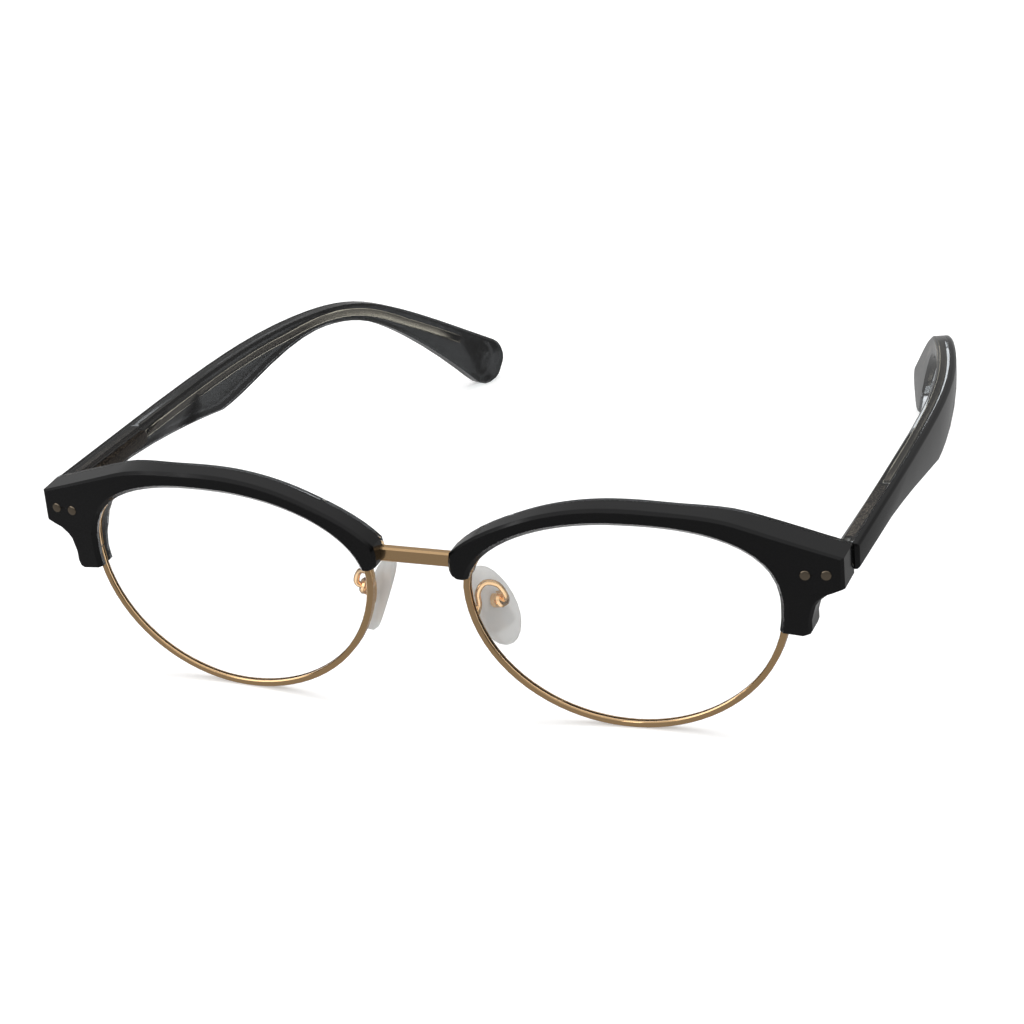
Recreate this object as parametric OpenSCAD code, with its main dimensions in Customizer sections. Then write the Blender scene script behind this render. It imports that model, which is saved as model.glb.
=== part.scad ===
// Browline glasses: black laminated brows and temples on gold wire rims.
// +Z is up, the front faces -Y and the temples run to +Y. Everything is drawn for
// the wearer's left side, at +X, and mirrored for the right side.

/* [Front] */
// Width of the opening inside one rim
eye_w = 50.7; // [49.5:0.1:51.5]
// Height of the opening inside one rim
eye_h = 35.6; // [34:0.1:37]
// Gap between the two openings at the nose
nose_gap = 18.1; // [17.4:0.1:19]
// Height of the opening above its widest line
eye_crown = 13.2; // [12.4:0.1:14]
// Squareness of the opening's upper outer corner, where 2 is an ellipse
corner_power = 2.45; // [2:0.05:2.7]
// Lean of the front, its top forwards, in degrees
lean = 3.2; // [1:0.1:5]
// Turn of each half round the face, in degrees
wrap = 4.4; // [3:0.1:6]
// Radius of the sphere that each rim is bent to
base_r = 306; // [250:1:400]

/* [Rims and lenses] */
// Width of the rim wire across its face
rim_t = 1.1; // [1:0.05:1.3]
// Depth of the rim wire, front to back
rim_d = 1.6; // [1.5:0.05:2]
// Depth of the groove that holds the lens
groove_d = 0.5; // [0.35:0.05:0.6]
// Thickness of the lenses
lens_t = 1.2; // [1:0.1:1.3]
// Height of the bridge bar
bridge_h = 2.5; // [2:0.1:2.8]
// Depth of the bridge bar
bridge_d = 1.5; // [1.2:0.1:1.8]

/* [Brows] */
// Height of the brow over the middle of the opening
brow_h = 2.9; // [2.6:0.1:3.4]
// Further height of the brow where it meets the end piece
brow_rise = 1.0; // [0.6:0.1:1.4]
// Further height of the brow at its nose end
brow_flare = 1.2; // [0.8:0.1:1.6]
// How far the brow stands in front of the rim
brow_front = 1.5; // [1.3:0.1:1.8]
// Depth of the black layer behind the rim's front, over the opening
brow_back = 2; // [1.9:0.1:2.4]
// Further depth of the black layer at the end piece
brow_swell = 1.6; // [1.2:0.1:2]
// Thickness of the clear layer behind the black one
clear_t = 1; // [0.9:0.05:1.2]
// Width of the chamfer along the front edges
chamfer_w = 0.5; // [0.3:0.05:0.7]
// Width of the leg that runs down beside the rim
leg_w = 5.1; // [4.9:0.1:5.6]
// Height of the end piece
end_h = 5.6; // [5.2:0.1:6]
// Width of the end piece, from the opening outwards
end_w = 10.25; // [9.8:0.05:11.2]
// Height of the end piece's top corner over the opening's widest line
end_rise = 8.6; // [8.2:0.1:9.2]

/* [Temples] */
// Depth of a temple from the end piece to its tip, measured straight back
temple_l = 138; // [132:0.2:142]
// Thickness of a temple
temple_t = 3.4; // [3.3:0.05:3.9]
// Thickness of the black layer of a temple
black_t = 1.2; // [1:0.05:1.3]
// Height of a temple at the hinge
temple_h = 4.4; // [4.2:0.1:5]
// Height of a temple at its fullest point
swell_h = 8.6; // [7.4:0.1:9.4]
// Height of a temple at the neck over the ear
neck_h = 3.3; // [3.1:0.1:4.2]
// Height of the paddle at the tip
tip_h = 9.5; // [8.5:0.1:10.5]
// How far the tip is tucked in towards the head
tuck = 24; // [20:0.1:27]
// Width of the core wire
core_w = 1.3; // [1:0.05:1.4]
// Height of the core wire
core_h = 1.5; // [1.2:0.05:1.8]

/* [Hinges] */
// Radius of the hinge knuckles
knuckle_r = 1.2; // [1.1:0.05:1.25]
// Height of all three knuckles together
knuckle_h = 3.6; // [3.3:0.1:3.8]
// Radius of the hinge screw's shank
pin_r = 0.55; // [0.5:0.01:0.6]
// Radial play of every part that turns or slides in a bore
play = 0.05; // [0.03:0.01:0.08]
// Thickness of the leaf let into the end piece
leaf_t = 0.8; // [0.7:0.05:0.9]
// Length of the spring housing
housing_l = 21.5; // [20:0.1:23]
// Height of the spring housing
housing_h = 2.8; // [2.7:0.05:3]
// Thickness of the spring housing
housing_t = 2.4; // [2.3:0.05:2.5]
// How far the housing stands proud of the temple
housing_proud = 0.7; // [0.5:0.05:0.8]
// How far a temple slides when it is bent outwards
flex_travel = 1.5; // [1:0.1:1.6]
// Diameter of the spring's wire
spring_wire = 0.28; // [0.24:0.02:0.32]
// Turns of the hinge spring
spring_turns = 6; // [4:1:7]
// Radius of the front rivets
rivet_r = 0.85; // [0.7:0.05:0.95]

/* [Nose pads] */
// Length of a nose pad
pad_l = 14; // [12.6:0.2:15]
// Width of a nose pad
pad_w = 7.6; // [7:0.1:8.2]
// Thickness of a nose pad at its middle
pad_t = 2.4; // [2:0.1:2.8]
// Radius of the pad arm's wire
arm_r = 0.5; // [0.4:0.02:0.55]
// Radius of the round box that holds the pad
box_r = 1.35; // [1.25:0.05:1.5]
// Radius of the pad screw's shank
pad_pin_r = 0.4; // [0.35:0.01:0.42]

/* [Hidden] */
$fn = 48;

black = "#17171a";
gold = "#d8b27a";
clear = "#cfd6d2";
steel = "#b9b4aa";

// Outline of the opening: four quarter ovals about the point on its widest line
seat = 0.05;
glue = 0.03;
eye_shift = 0.33;
reach_in = eye_w / 2 + eye_shift;
reach_out = eye_w - reach_in;
eye_fall = eye_h - eye_crown;
eye_u = nose_gap / 2 + reach_in;
wire_step = 4.5;

function quarter(a) =
    cos(a) >= 0 ? (sin(a) >= 0 ? [reach_out, eye_crown, corner_power] : [reach_out, eye_fall, 2])
                : (sin(a) >= 0 ? [reach_in, eye_crown, 2] : [reach_in, eye_fall, 2]);
function eye_r(a) =
    let (q = quarter(a))
    pow(pow(abs(cos(a)) / q[0], q[2]) + pow(abs(sin(a)) / q[1], q[2]), -1 / q[2]);
// How far the outline's normal turns away from the ray at that angle, as a factor
function skew(a) =
    let (r = eye_r(a), e = 0.1, slope = (eye_r(a + e) - eye_r(a - e)) / (2 * e) * 180 / PI)
    sqrt(1 + pow(slope / r, 2));
function ring_r(a, off) = eye_r(a) + off * skew(a);

// The front's own frame: u outwards from the nose, v up, d backwards from the rims' front
mid_u = nose_gap / 2 + eye_w / 2;
function bulge(u, v) =
    let (s = u - mid_u, h = v - eye_h / 2)
    s * tan(wrap) + (s * s + h * h) / (2 * base_r);
function lie(u, v, d) =
    let (y = bulge(u, v) + d)
    [u, y * cos(lean) - v * sin(lean), v * cos(lean) + y * sin(lean)];
// The widest line's height above the lowest point of the rims' front
eye_v = eye_fall + rim_t;
low_z = min([for (a = [45 * wire_step : wire_step : 75 * wire_step]) lie(eye_u + ring_r(a, rim_t) * cos(a),
                                                   eye_v + ring_r(a, rim_t) * sin(a), 0.15)[2]]);
function raw_pt(u, v, d) = lie(u, v, d) - [0, 0, low_z];
function raw_ray(a, r, d) = raw_pt(eye_u + r * cos(a), eye_v + r * sin(a), d);

// End piece and leg of the brow
half_w = eye_u + reach_out + end_w;
end_taper = 0.3;
end_u = half_w - end_taper;
end_top_v = eye_v + end_rise;
end_low_v = end_top_v - end_h;
leg_end_a = -9.2;
leg_u = eye_u + eye_r(leg_end_a) * cos(leg_end_a) + leg_w;
hollow_r = 5;
leg_step = 1.3;
front_bevel = 0.7;
hollow = [leg_u + hollow_r, end_low_v - hollow_r];
nose_end_w = 2.75;
nose_end_u = nose_gap / 2 - nose_end_w;
nose_end_a = 175.2;
crown_out_a = 38;
corner_a = atan2(end_top_v - eye_v, end_u - eye_u);
low_corner_a = atan2(end_low_v - eye_v, end_u - eye_u);
leg_top_a = atan2(hollow[1] - eye_v, leg_u - eye_u);

// Height of the brow above the opening, by angle
function brow_height(a) =
    brow_h + (a > 140 ? brow_flare * pow((a - 140) / 23, 2) : 0)
           + (a < 72 ? brow_rise * pow((72 - a) / 32, 2) : 0);
function crown_r(a) = eye_r(a) + brow_height(a) * (1 + (skew(a) - 1) / 2);
crown_pt = [crown_r(crown_out_a) * cos(crown_out_a), crown_r(crown_out_a) * sin(crown_out_a)];
end_pt = [end_u - eye_u, end_top_v - eye_v];
// Distance along a ray to the straight line between two points
function ray_line(a, p, q) =
    let (d = q - p) (p[0] * d[1] - p[1] * d[0]) / (cos(a) * d[1] - sin(a) * d[0]);
// Distance along a ray to the near side of the hollow above the leg
function ray_hollow(a) =
    let (c = hollow - [eye_u, eye_v], b = c[0] * cos(a) + c[1] * sin(a))
    b - sqrt(max(0, b * b - c * c + hollow_r * hollow_r));
function brow_r(a) =
    a > crown_out_a ? min(crown_r(a), a > 120 ? (eye_u - nose_end_u) / -cos(a) : 99)
    : a > corner_a ? ray_line(a, end_pt, crown_pt)
    : a > low_corner_a ? (end_u - eye_u) / cos(a)
    : a > leg_top_a ? ray_hollow(a)
    : (leg_u - eye_u) / cos(a);
function ease(t) = let (c = max(0, min(1, t))) c * c * (3 - 2 * c);
function brow_depth(a) =
    brow_back + brow_swell * ease((62 - a) / 40) - leg_step * ease((6 - a) / 8);
// Angles of the brow's sections, closer together round its corners
brow_angles = concat(
    [leg_end_a, leg_end_a + 0.7, leg_end_a + 2.2, -4.5, leg_top_a, 1, 2.6, 4.2, 5.6, low_corner_a - 0.5,
     low_corner_a, (low_corner_a + corner_a) / 2, corner_a, corner_a + 0.6, 18, 22.5, 27, 31.5, 36],
    [for (a = [40.5 : wire_step : 153]) a],
    [157.5, 161, 164, 167, 170, 172.5, nose_end_a - 2.2, nose_end_a - 0.8, nose_end_a]);
// Rounding of the two ends, which draws the outer edge in
function end_round(a) =
    let (near = min(a - leg_end_a, nose_end_a - a), t = near / 2.6)
    t >= 1 ? 0 : 0.9 * (1 - sqrt(1 - pow(1 - t, 2)));

// Spine of a temple: the outer top edge, as a function of the way back
function raw_back(u) = raw_pt(u, (end_top_v + end_low_v) / 2, brow_back + brow_swell + clear_t)[1];
gap = 0.25;
temple_x = half_w + 0.5;
temple_in_x = temple_x - temple_t;
start_y = raw_back(temple_x) + gap;
start_slope = (raw_back(temple_x) - raw_back(temple_in_x)) / temple_t;
top_z = raw_pt(end_u, end_top_v, brow_back + brow_swell)[2];
bow_at = 77;
bow_soft = 21;
bend_at = 100;
bend_soft = 11.5;
swell_at = 54;
ear_from = 91.5;
ear_to = 93.5;
paddle_at = 134;
temple_sink = 0.4;
// A straight run that turns into another one: how far it has left the first, over how far it could
function lean_in(y, at, soft) = sqrt(pow(y - at, 2) + soft * soft) + y - at;
function turned(y, at, soft) =
    (lean_in(y, at, soft) - lean_in(0, at, soft)) / (lean_in(temple_l, at, soft) - lean_in(0, at, soft));
function spine(y, drop = tip_drop) =
    [temple_x - tuck * turned(y, bow_at, bow_soft), start_y + y,
     top_z - temple_sink - drop * turned(y, bend_at, bend_soft)];
function temple_height(y) =
    y < swell_at ? temple_h + (swell_h - temple_h) * pow(max(0, (y - 16) / (swell_at - 16)), 1.5)
    : y < ear_from ? swell_h + (neck_h - swell_h) * ease((y - swell_at) / (ear_from - swell_at))
    : y < ear_to ? neck_h
    : neck_h + (tip_h - neck_h) * pow(min(1, (y - ear_to) / (paddle_at - ear_to)), 2);
function unit(v) = v / norm(v);
// A point of the temple: in from the outer face, and down from the top edge
function on_temple(y, in, down, drop = tip_drop) =
    let (t = unit(spine(y + 0.05, drop) - spine(y - 0.05, drop)), across = unit([t[1], -t[0], 0]))
    spine(y, drop) - across * in - cross(across, t) * down - [0, y < 0.01 ? start_slope * in : 0, 0];
temple_steps = concat([0, 10, 20, 28, 35, 41, 46, 50, 54, 57, 61, 66, 72, 78, 83, 87],
                      [for (y = [90 : 2.5 : 115]) y],
                      [for (e = [18, 13, 8.5, 5.5, 3.4, 2.2, 1.2, 0.5, 0.1, 0]) temple_l - e]);
tip_round = 3.4;
// How far the tip's round end draws in its top and bottom edges
function tip_in(y) =
    let (e = temple_l - y) e >= tip_round ? 0 : tip_round * (1 - sqrt(1 - pow(1 - e / tip_round, 2)));
temple_edge = 0.45;
// Sections of the two layers: how far in from the outer face, how far down from the top edge
function outer_profile(y) =
    let (n = tip_in(y), h = temple_height(y) - n, e = temple_edge)
    [[black_t, n], [e, n], [0, n + e], [0, h - e], [e, h], [black_t, h]];
function inner_profile(y) =
    let (n = tip_in(y), h = temple_height(y) - n, e = temple_edge, t = temple_t)
    [[black_t, n], [t - e, n], [t, n + e], [t, h - e], [t - e, h], [black_t, h]];
function tip_low(drop) =
    min([for (y = temple_steps) if (y > temple_l - 25) for (p = concat(outer_profile(y), inner_profile(y)))
         on_temple(y, p[0], p[1], drop)[2]]);
// The drop of the top edge that sets the tips down on the ground, by two chords
drop_a = 26;
drop_b = drop_a + tip_low(drop_a);
drop_c = drop_b + tip_low(drop_b) * (drop_b - drop_a) / (tip_low(drop_a) - tip_low(drop_b) + 0.000001);
tip_drop = drop_c;

// The whole model stands on z = 0, centred over its own box
front_y = min([for (a = brow_angles) for (r = [brow_r(a) - end_round(a) - chamfer_w, ring_r(a, front_bevel)])
               raw_ray(a, r, -brow_front)[1]]);
back_y = max([for (y = temple_steps) for (p = concat(outer_profile(y), inner_profile(y)))
              on_temple(y, p[0], p[1])[1]]);
centre_y = (front_y + back_y) / 2;
function at_centre(p) = p - [0, centre_y, 0];
function ray_pt(a, r, d) = at_centre(raw_ray(a, r, d));
function front_pt(u, v, d) = at_centre(raw_pt(u, v, d));

// The front's local frame at a point: x outwards along the front, y down, z backwards
function turn_u(u) = atan(tan(wrap) + (u - mid_u) / base_r);
function turn_v(v) = atan((v - eye_h / 2) / base_r);
module on_front(u, v) {
    translate(front_pt(u, v, 0)) rotate([lean - 90, 0, 0]) rotate([0, -turn_u(u), 0])
        rotate([-turn_v(v), 0, 0]) children();
}
// Direction square to the outline, for an angle of the ray
function square_a(a) =
    let (e = 0.1) a - atan((eye_r(a + e) - eye_r(a - e)) / (2 * e) * 180 / PI / eye_r(a));

// Skin over a row of sections, with a cap on each end
function area_way(row) = [for (i = [1 : len(row) - 2]) cross(row[i] - row[0], row[i + 1] - row[0])];
function total(list) = list * [for (i = list) 1];
function sum_pts(list) = [for (k = [0 : 2]) total([for (p = list) p[k]])];
function backwards(row) = [for (j = [len(row) - 1 : -1 : 0]) row[j]];
module skin(given) {
    m = len(given[0]);
    n = len(given);
    lead = sum_pts(given[1]) / m - sum_pts(given[0]) / m;
    rows = sum_pts(area_way(given[0])) * lead > 0 ? [for (row = given) backwards(row)] : given;
    points = [for (row = rows) for (p = row) p];
    sides = [for (i = [0 : n - 2]) for (j = [0 : m - 1])
             let (k = (j + 1) % m, a = i * m + j, b = i * m + k, c = a + m, d = b + m)
             each [[a, b, d], [a, d, c]]];
    caps = [[for (j = [m - 1 : -1 : 0]) j], [for (j = [0 : m - 1]) (n - 1) * m + j]];
    polyhedron(points, concat(sides, caps), convexity = 8);
}

// Rims: a wire ring round each lens, cut at its outer side where the lock closes it
split_a = -2;
split_gap = 0.35;
rim_angles = concat([split_a + split_gap], [for (a = [0 : wire_step : 355]) a], [360 + split_a - split_gap]);
edge = 0.15;
groove_h = 0.45;
rim_mid = rim_d / 2;
function rim_section(a) =
    [for (p = [[0, edge], [edge, 0], [rim_t - edge, 0], [rim_t, edge], [rim_t, rim_d - edge],
               [rim_t - edge, rim_d], [edge, rim_d], [0, rim_d - edge], [0, rim_mid + groove_h],
               [groove_d, rim_mid], [0, rim_mid - groove_h]])
     ray_pt(a, ring_r(a, p[0]), p[1])];
module rim_ring() {
    skin([for (a = rim_angles) rim_section(a)]);
}
// Room that the rim takes from a block brazed to its outer side
braze = 0.02;
module rim_room(angles) {
    skin([for (a = angles)
          [for (p = [[0, -edge], [rim_t + braze, -edge], [rim_t + braze, rim_d + 2 * edge], [0, rim_d + 2 * edge]])
           ray_pt(a, ring_r(a, p[0]), p[1])]]);
}

// Lenses: bent to the rims' sphere, with a bevel all round that sits in the groove
module lens_solid() {
    angles = [for (a = [0 : wire_step : 359]) a];
    n = len(angles);
    rings = [[0.5, 0, rim_mid - lens_t / 2], [1, 0, rim_mid - groove_h], [1, groove_d, rim_mid],
             [1, 0, rim_mid + groove_h], [0.5, 0, rim_mid + lens_t / 2]];
    points = concat([for (q = rings) for (a = angles) ray_pt(a, ring_r(a, q[1]) * q[0], q[2])],
                    [ray_pt(0, 0, rim_mid - lens_t / 2), ray_pt(0, 0, rim_mid + lens_t / 2)]);
    bands = [for (i = [0 : 3]) for (j = [0 : n - 1])
             let (k = (j + 1) % n, a = i * n + j, b = i * n + k)
             each [[a, a + n, b + n], [a, b + n, b]]];
    fans = [for (j = [0 : n - 1]) let (k = (j + 1) % n)
            each [[j, k, 5 * n], [4 * n + j, 5 * n + 1, 4 * n + k]]];
    polyhedron(points, concat(bands, fans), convexity = 4);
}

// Bridge: a flat bar between the rims, through the nose ends of the brows
bridge_v = eye_v + 4.1;
bridge_front = 0.9;
bridge_edge = 0.3;
// Angle at which the rim's outer side reaches a height
function side_a(v, a = 170, n = 5) = n == 0 ? a : side_a(v, 180 - asin((v - eye_v) / ring_r(a, rim_t)), n - 1);
function bar_section(grow) =
    let (h = bridge_h / 2 + grow, b = bridge_front - grow, f = bridge_front + bridge_d + grow, e = bridge_edge)
    [[-h + e, b], [h - e, b], [h, b + e], [h, f - e], [h - e, f], [-h + e, f], [-h, f - e], [-h, b + e]];
function bar_end(grow, x) =
    [for (p = bar_section(grow)) let (q = front_pt(nose_end_u, bridge_v + p[0], p[1])) [x, q[1], q[2]]];
module bridge_bar() {
    side = [for (p = bar_section(0)) let (v = bridge_v + p[0], a = side_a(v))
            ray_pt(a, ring_r(a, rim_t), p[1])];
    skin([[for (p = side) [-p[0], p[1], p[2]]], bar_end(0, -nose_end_u), bar_end(0, nose_end_u), side]);
}
module bridge_slot() {
    skin([bar_end(seat, nose_end_u - 1), bar_end(seat, nose_end_u + 4.6)]);
}

// Brows: black in front, clear behind, in a notch round the rim's upper half
function black_section(a) =
    let (out = brow_r(a) - end_round(a), db = brow_depth(a))
    [[ring_r(a, 0), 0], [ring_r(a, 0), -brow_front / 2], [ring_r(a, front_bevel), -brow_front],
     [out - chamfer_w, -brow_front], [out, chamfer_w - brow_front], [out, db], [ring_r(a, 0), db],
     [ring_r(a, 0), rim_d], [ring_r(a, rim_t + seat), rim_d], [ring_r(a, rim_t + seat), 0]];
function clear_section(a) =
    let (out = brow_r(a) - end_round(a), db = brow_depth(a), e = 0.3)
    [[ring_r(a, 0), db + glue], [out, db + glue], [out, db + clear_t - e], [out - e, db + clear_t],
     [ring_r(a, e), db + clear_t], [ring_r(a, 0), db + clear_t - e]];
module brow_layer(backing) {
    skin([for (a = brow_angles) [for (p = backing ? clear_section(a) : black_section(a)) ray_pt(a, p[0], p[1])]]);
}

// Rim lock: two blocks on the rim's cut ends, drawn together by a screw
lock_u = eye_u + ring_r(split_a, rim_t);
lock_w = 2.6;
lock_v = eye_v + eye_r(split_a) * sin(split_a);
lock_h = 1.9;
lock_slit = 0.15;
lock_back = rim_d + 0.3;
lock_pin_r = 0.4;
lock_in = 0.3;
module lock_space() {
    on_front(lock_u, lock_v) translate([-lock_in, -lock_slit - lock_h, 0])
        cube([lock_w + lock_in, 2 * (lock_slit + lock_h), lock_back]);
}
module lock_blocks() {
    difference() {
        on_front(lock_u, lock_v) difference() {
            for (y = [-lock_slit - lock_h, lock_slit]) translate([-lock_in, y, 0])
                cube([lock_w + lock_in, lock_h, lock_back]);
            translate([lock_w / 2, 3, lock_back / 2]) rotate([90, 0, 0]) cylinder(r = lock_pin_r, h = 6);
        }
        rim_room([-2 * wire_step, -wire_step, split_a - split_gap, split_a + split_gap, 0, wire_step, 2 * wire_step]);
    }
}
module lock_screw() {
    on_front(lock_u, lock_v) translate([lock_w / 2, lock_slit + lock_h, lock_back / 2]) rotate([90, 0, 0]) {
        cylinder(r = lock_pin_r, h = 2 * (lock_slit + lock_h) - 0.3);
        difference() {
            translate([0, 0, -0.5]) cylinder(r = 0.75, h = 0.5);
            translate([-1, -0.1, -0.51]) cube([2, 0.2, 0.21]);
        }
    }
}

// Brow screws: each holds the brow's nose end to a lug on the rim, from behind
lug_a = 33.5 * wire_step;
lug_r = 0.8;
lug_l = 1.5;
lug_pin_r = 0.35;
lug_back = rim_d - 0.1;
function lug_at(off) = let (a = lug_a, s = square_a(a))
    [eye_u + eye_r(a) * cos(a) + off * cos(s), eye_v + eye_r(a) * sin(a) + off * sin(s)];
module lug_block(grow) {
    p = lug_at(rim_t + braze);
    on_front(p[0], p[1]) rotate([0, 0, -square_a(lug_a)])
        translate([-grow, -lug_r - grow, 0.2 - grow]) cube([lug_l + 2 * grow, 2 * lug_r + 2 * grow, lug_back - 0.2 + 2 * grow]);
}
lug_mid = lug_at(rim_t + lug_l / 2);
lug_out = brow_depth(lug_a) + clear_t;
module brow_lug() {
    difference() {
        lug_block(0);
        rim_room([for (k = [32 : 35]) k * wire_step]);
        on_front(lug_mid[0], lug_mid[1]) translate([0, 0, 0.4]) cylinder(r = lug_pin_r, h = 4);
    }
}
module brow_screw() {
    on_front(lug_mid[0], lug_mid[1]) {
        translate([0, 0, 0.4]) cylinder(r = lug_pin_r, h = lug_out - 0.8);
        difference() {
            translate([0, 0, lug_out - 0.5]) cylinder(r = 0.7, h = 0.45);
            translate([-1, -0.1, lug_out - 0.25]) cube([2, 0.2, 1]);
        }
    }
}
module brow_screw_hole() {
    on_front(lug_mid[0], lug_mid[1]) {
        translate([0, 0, 0.4]) cylinder(r = lug_pin_r + 0.03, h = 4);
        translate([0, 0, lug_out - 0.5]) cylinder(r = 0.7 + 0.03, h = 2);
    }
}

// Front rivets: they hold the hinge leaf through both layers of the end piece
leaf_v = end_top_v - end_h / 2 + 0.05;
leaf_u = end_u - 4.65;
leaf_w = 7.1;
leaf_h = 4.3;
leaf_back = brow_back + brow_swell + clear_t;
rivet_pitch = 3.2;
module rivets(r) {
    for (u = [leaf_u - 1.45, leaf_u - 1.45 + rivet_pitch]) on_front(u, leaf_v)
        translate([0, 0, -brow_front - 0.12]) cylinder(r = r, h = brow_front + 0.12 + leaf_back - leaf_t);
}
module leaf_plate() {
    on_front(leaf_u, leaf_v) translate([-leaf_w / 2, -leaf_h / 2, leaf_back - leaf_t]) cube([leaf_w, leaf_h, leaf_t]);
}

// Hinge: an upright screw through three knuckles
hinge_x = temple_in_x - knuckle_r - 0.15;
hinge_y = front_pt(hinge_x, leaf_v, leaf_back)[1] + knuckle_r + 0.9;
hinge_z = front_pt(hinge_x, leaf_v, leaf_back)[2];
knuckle_gap = 0.05;
mid_knuckle = 1.4;
side_knuckle = (knuckle_h - mid_knuckle) / 2 - knuckle_gap;
module at_hinge() {
    translate([hinge_x, hinge_y, hinge_z]) children();
}
module leaf_solid() {
    difference() {
        union() {
            leaf_plate();
            at_hinge() for (z = [-knuckle_h / 2, knuckle_h / 2 - side_knuckle]) translate([0, 0, z]) {
                cylinder(r = knuckle_r, h = side_knuckle);
                translate([-0.4, -knuckle_r - 1.1, 0]) cube([1.4, knuckle_r + 1.1, side_knuckle]);
            }
        }
        at_hinge() translate([0, 0, -5]) cylinder(r = pin_r, h = 10);
    }
}
module hinge_screw() {
    at_hinge() {
        translate([0, 0, -knuckle_h / 2]) cylinder(r = pin_r, h = knuckle_h);
        difference() {
            translate([0, 0, knuckle_h / 2]) cylinder(r = 0.95, h = 0.45);
            translate([-1.5, -0.12, knuckle_h / 2 + 0.25]) cube([3, 0.24, 1]);
        }
    }
}

// Spring hinge: a slider on the screw, drawn into its housing by a spring on a rod
slide_x = temple_in_x - housing_proud + housing_t / 2 - hinge_x;
link_w = 1.3;
link_h = 1.3;
housing_from = 2.3;
link_to = housing_from + 3;
link_room = 1;
wall_to = link_to + link_room + 1.5;
rod_r = 0.4;
chamber_r = housing_t / 2 - 0.25;
spring_l = 7.1;
head_l = 0.8;
head_r = chamber_r - play;
plug_l = 4;
plug_in = 0.4;
module slider_solid() {
    at_hinge() difference() {
        union() {
            translate([0, 0, -mid_knuckle / 2]) cylinder(r = knuckle_r, h = mid_knuckle);
            translate([0, 0, -link_h / 2]) cube([slide_x + link_w / 2, housing_from - 0.1, link_h]);
            translate([slide_x - link_w / 2, 0, -link_h / 2]) cube([link_w, link_to, link_h]);
        }
        translate([0, 0, -5]) cylinder(r = pin_r + play, h = 10);
        translate([slide_x, 3, 0]) rotate([-90, 0, 0]) cylinder(r = rod_r, h = 5);
    }
}
module rod_solid() {
    at_hinge() translate([slide_x, 0, 0]) rotate([-90, 0, 0]) {
        translate([0, 0, 3]) cylinder(r = rod_r, h = wall_to + spring_l - 3);
        translate([0, 0, wall_to + spring_l]) cylinder(r = head_r, h = head_l);
    }
}
module housing_shape() {
    h = housing_h / 2;
    t = housing_t / 2;
    e = 0.4;
    at_hinge() translate([slide_x, housing_from, 0]) intersection() {
        translate([0, housing_l, 0]) rotate([90, 0, 0]) linear_extrude(height = housing_l)
            polygon([[t, -h], [t, h], [e - t, h], [-t, h - e], [-t, e - h], [e - t, -h]]);
        union() {
            translate([-t - 1, 0, -h]) cube([2 * t + 2, housing_l - h, 2 * h]);
            translate([-t - 1, housing_l - h, 0]) rotate([0, 90, 0]) cylinder(r = h, h = 2 * t + 2);
        }
    }
}
module link_way(grow, from, to) {
    at_hinge() translate([slide_x - link_w / 2 - grow, from, -link_h / 2 - grow])
        cube([link_w + 2 * grow, to - from, link_h + 2 * grow]);
}
module housing_solid() {
    difference() {
        housing_shape();
        link_way(play, 0, link_to + link_room);
        at_hinge() translate([slide_x, 0, 0]) rotate([-90, 0, 0]) {
            cylinder(r = rod_r + 2 * play, h = wall_to + 1);
            translate([0, 0, wall_to]) cylinder(r = chamber_r, h = housing_l);
        }
    }
}
module plug_solid() {
    at_hinge() translate([slide_x, housing_from + housing_l - plug_in - plug_l, 0]) rotate([-90, 0, 0])
        cylinder(r = chamber_r, h = plug_l);
}
// Coil round the rod, seated on the rod's head and as short as the hinge presses it at full travel
coil_from = wall_to + flex_travel + play;
coil_l = wall_to + spring_l - coil_from;
coil_r = (chamber_r + rod_r) / 2 + 0.03;
coil_rings = spring_turns * 8;
function coil_pt(t) = let (a = 360 * spring_turns * t)
    [slide_x + coil_r * cos(a), coil_from + spring_wire / 2 + (coil_l - spring_wire) * t, coil_r * sin(a)];
function coil_section(t) =
    let (a = 360 * spring_turns * t, out = [cos(a), 0, sin(a)],
         go = unit([-sin(a) * coil_r * 2 * PI * spring_turns, coil_l - spring_wire,
                    cos(a) * coil_r * 2 * PI * spring_turns]), side = cross(go, out))
    [for (b = [0 : 60 : 300]) coil_pt(t) + (out * cos(b) + side * sin(b)) * spring_wire / 2];
coil_gap = min([for (i = [0 : 7]) for (j = [i + 5 : i + 11])
                norm(coil_pt(i / coil_rings) - coil_pt(j / coil_rings))]) - spring_wire;
module coil_solid() {
    echo(str("Least gap between the spring's turns: ", coil_gap, " mm"));
    at_hinge() skin([for (i = [0 : coil_rings]) coil_section(i / coil_rings)]);
}

// Temples: black outside and clear inside, round a core wire
function wire_down(y) = min(2.3, temple_height(y) / 2);
wire_from = housing_from + housing_l + hinge_y - at_centre([0, start_y, 0])[1] + 1;
wire_to = temple_l - 11.5;
function temple_section(y, profile) = [for (p = profile) at_centre(on_temple(y, p[0], p[1]))];
wire_in = (black_t + temple_t) / 2;
function wire_section(y) =
    let (w = core_w / 2, h = core_h / 2)
    [for (p = [[-w, -h], [w, -h], [w, h], [-w, h]])
     at_centre(on_temple(y, wire_in + p[0], wire_down(y) + p[1]))];
module wire_solid() {
    skin([for (y = concat([wire_from], [for (s = temple_steps) if (s > wire_from + 2 && s < wire_to - 1) s], [wire_to]))
          wire_section(y)]);
}
module outer_solid() {
    skin([for (y = temple_steps) temple_section(y, outer_profile(y))]);
}
module inner_solid() {
    difference() {
        skin([for (y = temple_steps) temple_section(y, inner_profile(y))]);
        wire_solid();
        housing_shape();
        link_way(0.1, -5, housing_from + 0.01);
    }
}

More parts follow.
